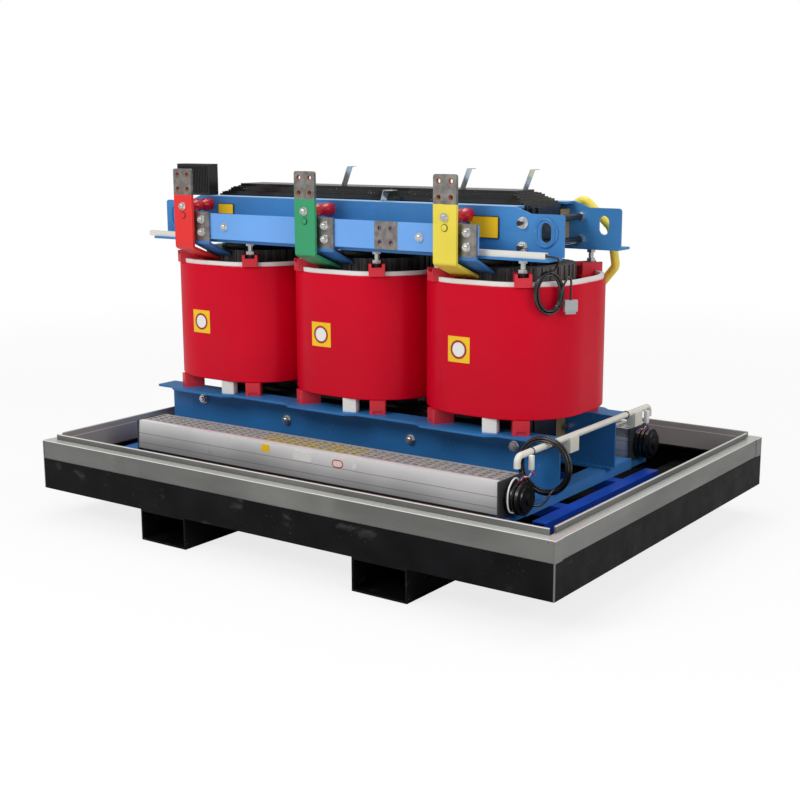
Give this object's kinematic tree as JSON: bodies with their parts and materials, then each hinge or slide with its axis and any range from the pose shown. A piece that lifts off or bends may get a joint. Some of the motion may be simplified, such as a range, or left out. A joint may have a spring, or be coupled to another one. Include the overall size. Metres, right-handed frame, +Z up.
{
  "type": "dry type transformer",
  "caption": "Three phase cast resin dry type transformer with clamps, busbars and two cross flow fans on a fork lift skid with a stainless rim.",
  "frame": {"origin": "on the ground under the middle of the skid", "axes": "+X along the long side towards the fan motors, +Y towards the high voltage side, +Z up"},
  "size_m": [2, 1.446, 1.193],
  "materials": {
    "black_paint": "satin",
    "stainless": "brushed",
    "bright_blue_paint": "gloss",
    "clamp_blue_paint": "satin",
    "neutral_blue_paint": "satin",
    "red_resin": "gloss",
    "white_resin": "satin",
    "core_black": "satin",
    "lv_coil_resin": "matte",
    "board": "matte",
    "bar_red_paint": "satin",
    "bar_green_paint": "satin",
    "bar_yellow_paint": "satin",
    "insulator_red": "gloss",
    "zinc": "bright",
    "black_rubber": "matte",
    "fan_aluminium": "satin",
    "motor_black": "gloss",
    "white_plastic": "satin",
    "copper_stud": "satin",
    "lead_sleeve": "satin",
    "black_cable": "gloss",
    "grey_plastic": "satin"
  },
  "bodies": {
    "root": {"base_channels": "neutral_blue_paint", "cable_straps": "zinc", "clamp_boards": "board", "coil_feet": "red_resin", "coil_spacers": "white_resin", "core": "core_black", "core_top_yoke": "core_black", "fan_brackets": "clamp_blue_paint", "fan_cable_coil": "black_cable", "fan_cable_lead": "black_cable", "fan_end_plates": "motor_black", "fan_front_grille": "fan_aluminium", "fan_front_motor": "motor_black", "fan_front_shell": "fan_aluminium", "fan_rear_grille": "fan_aluminium", "fan_rear_motor": "motor_black", "fan_rear_shell": "fan_aluminium", "fasteners": "zinc", "fork_pockets": "black_paint", "hv_coil_a": "red_resin", "hv_coil_b": "red_resin", "hv_coil_c": "red_resin", "hv_leads": "lead_sleeve", "hv_terminals": "copper_stud", "jack_bolts": "zinc", "lower_clamp_front": "clamp_blue_paint", "lower_clamp_rear": "clamp_blue_paint", "lower_conduit": "white_plastic", "lv_bar_green": "bar_green_paint", "lv_bar_red": "bar_red_paint", "lv_bar_yellow": "bar_yellow_paint", "lv_coil_a": "lv_coil_resin", "lv_coil_b": "lv_coil_resin", "lv_coil_c": "lv_coil_resin", "neutral_bar": "neutral_blue_paint", "neutral_leads": "neutral_blue_paint", "ribbed_housing": "motor_black", "rim_corner_caps": "stainless", "rim_end_rails": "stainless", "rim_long_rails": "stainless", "rubber_pads": "black_rubber", "rubber_strips": "black_rubber", "sensor_cable_coil": "black_cable", "sensor_cable_lead": "black_cable", "sensor_cable_tail": "black_cable", "sensor_plug": "grey_plastic", "skid_cross_members": "black_paint", "skid_end_channels": "black_paint", "skid_long_channels": "black_paint", "standoff_insulators": "insulator_red", "subframe_end_beams": "bright_blue_paint", "subframe_rails": "bright_blue_paint", "terminal_boxes": "white_plastic", "tie_rods": "motor_black", "top_blocks": "red_resin", "upper_clamp_front": "clamp_blue_paint", "upper_clamp_rear": "clamp_blue_paint", "wiring_duct": "white_plastic"},
    "impeller_front": {"fan_front_impeller": "fan_aluminium"},
    "impeller_rear": {"fan_rear_impeller": "fan_aluminium"}
  },
  "joints": [
    {"name": "front_fan_spin", "type": "hinge", "parent": "root", "child": "impeller_front", "pos_m": [-0.05, -0.4175, 0.2695], "axis": [1, 0, 0], "continuous": true},
    {"name": "rear_fan_spin", "type": "hinge", "parent": "root", "child": "impeller_rear", "pos_m": [-0.05, 0.4175, 0.2695], "axis": [1, 0, 0], "continuous": true}
  ]
}
